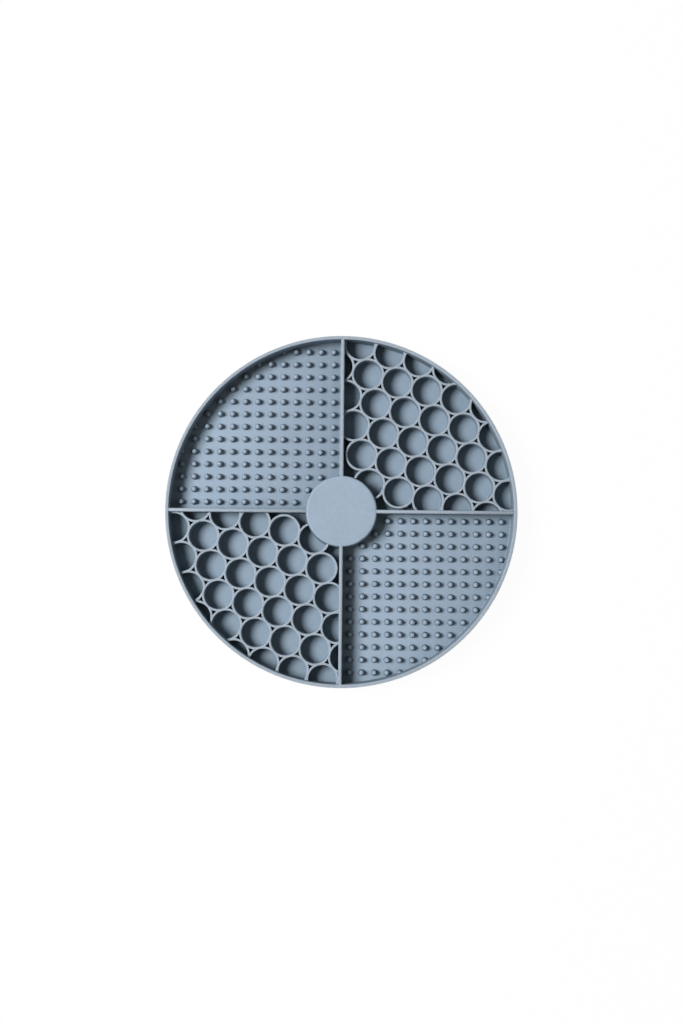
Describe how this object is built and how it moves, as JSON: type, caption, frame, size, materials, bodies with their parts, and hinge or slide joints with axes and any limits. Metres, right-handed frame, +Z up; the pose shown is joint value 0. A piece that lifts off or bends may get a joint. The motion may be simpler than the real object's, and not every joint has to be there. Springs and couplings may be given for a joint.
{
  "type": "lick mat",
  "caption": "Round rimmed silicone lick mat for pets, split by cross walls and a plain hub into bays of close-packed cups and bays of low round nubs, with suction cups underneath.",
  "frame": {"origin": "on the resting surface, under the middle of the round mat", "axes": "+Z up out of the bays; +X right and +Y back as the mat is seen from above, along the dividers, with cups in the back right and front left bays"},
  "size_m": [0.2, 0.2, 0.017],
  "materials": {
    "silicone": "matte blue-grey moulded silicone"
  },
  "bodies": {
    "root": {"tray_floor": "silicone", "outer_rim": "silicone", "centre_hub": "silicone", "divider_back": "silicone", "divider_right": "silicone", "divider_front": "silicone", "divider_left": "silicone", "cup_field_back_right": "silicone", "cup_field_front_left": "silicone", "nub_field_back_left": "silicone", "nub_field_front_right": "silicone", "suction_cup_centre": "silicone", "suction_cup_back_right": "silicone", "suction_cup_back_left": "silicone", "suction_cup_front_left": "silicone", "suction_cup_front_right": "silicone"}
  },
  "joints": []
}
